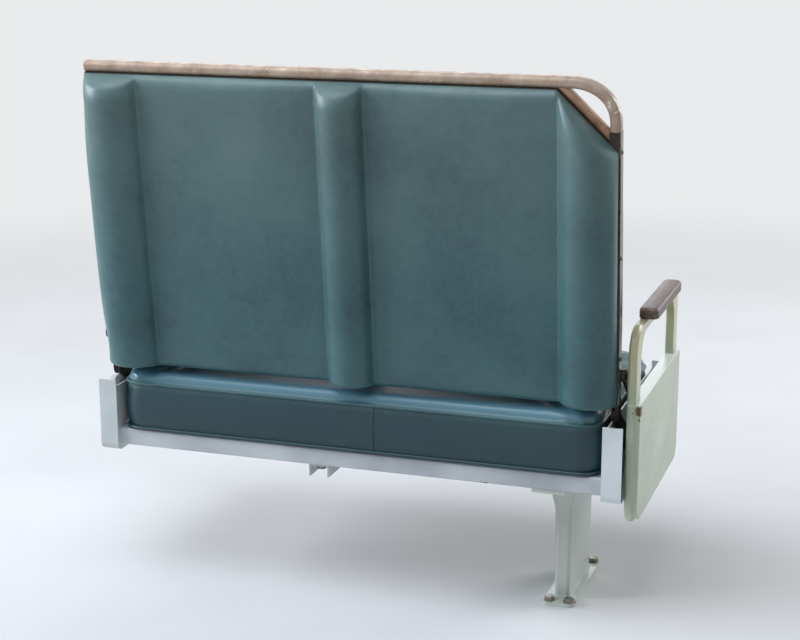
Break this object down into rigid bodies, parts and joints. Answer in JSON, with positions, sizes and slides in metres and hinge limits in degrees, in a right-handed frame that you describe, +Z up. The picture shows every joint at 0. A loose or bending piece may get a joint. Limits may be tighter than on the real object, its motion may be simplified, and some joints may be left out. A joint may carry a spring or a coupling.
{
  "type": "walkover coach seat",
  "caption": "Double walkover passenger seat: padded back on pivoting arms thrown over a sprung cushion, armrest frame, floor pedestal and wall plate.",
  "frame": {"origin": "on the floor, at the middle of the pedestal's bolt pattern", "axes": "+X towards the aisle, +Y the way the sitters face with the back at rest, +Z up"},
  "size_m": [1.091, 0.5685, 1.0339],
  "materials": {
    "green_vinyl": "soft satin vinyl upholstery",
    "cream_paint": "gloss enamel, slightly worn",
    "brown_arm_pad": "worn moulded",
    "worn_bronze_trim": "worn by hands",
    "back_board": "plywood, hidden",
    "black_rubber": "moulded",
    "dark_steel": "dark oiled",
    "dark_chrome": "dulled bright strip",
    "back_frame_steel": "black enamel",
    "pan_steel": "primer"
  },
  "bodies": {
    "base": {"aisle_housing": "cream_paint", "aisle_panel": "cream_paint", "aisle_stops": "black_rubber", "arm_frame": "cream_paint", "arm_pad": "brown_arm_pad", "cross_tie": "cream_paint", "cushion_pan": "pan_steel", "front_rail": "cream_paint", "pedestal_bearer": "cream_paint", "pedestal_column": "cream_paint", "pedestal_foot": "cream_paint", "rear_rail": "cream_paint", "seat_cushion": "green_vinyl", "wall_housing": "cream_paint", "wall_plate": "cream_paint", "wall_stops": "black_rubber"},
    "arms": {"torsion_shaft": "dark_steel", "aisle_main_arm": "dark_steel", "wall_main_arm": "dark_steel"},
    "guides": {"aisle_guide_arm": "dark_steel", "wall_guide_arm": "dark_steel"},
    "back": {"aisle_back_pin": "dark_steel", "aisle_lug": "dark_steel", "aisle_stile": "back_frame_steel", "back_board": "back_board", "back_bottom_rail": "back_frame_steel", "back_rail": "worn_bronze_trim", "corner_grip": "worn_bronze_trim", "front_aisle_bolster": "green_vinyl", "front_aisle_pad": "green_vinyl", "front_centre_bolster": "green_vinyl", "front_wall_bolster": "green_vinyl", "front_wall_pad": "green_vinyl", "rear_aisle_bolster": "green_vinyl", "rear_aisle_pad": "green_vinyl", "rear_centre_bolster": "green_vinyl", "rear_wall_bolster": "green_vinyl", "rear_wall_pad": "green_vinyl", "side_strip": "dark_chrome", "wall_back_pin": "dark_steel", "wall_lug": "dark_steel", "wall_stile": "back_frame_steel"}
  },
  "joints": [
    {"name": "arm_swing", "type": "hinge", "parent": "base", "child": "arms", "pos_m": [0, 0, 0.29], "axis": [-1, 0, 0], "range_deg": [0, 112.5]},
    {"name": "back_tilt", "type": "hinge", "parent": "arms", "child": "back", "pos_m": [0, -0.19601, 0.42098], "axis": [-1, 0, 0], "range_deg": [-100, 0]},
    {"name": "guide_swing", "type": "hinge", "parent": "base", "child": "guides", "pos_m": [0, 0, 0.34944], "axis": [-1, 0, 0], "range_deg": [0, 109.43]}
  ],
  "couplings": [
    {"joint": "back_tilt", "follows": "arm_swing", "ratio": -0.88444},
    {"joint": "guide_swing", "follows": "arm_swing", "ratio": 0.96831}
  ]
}
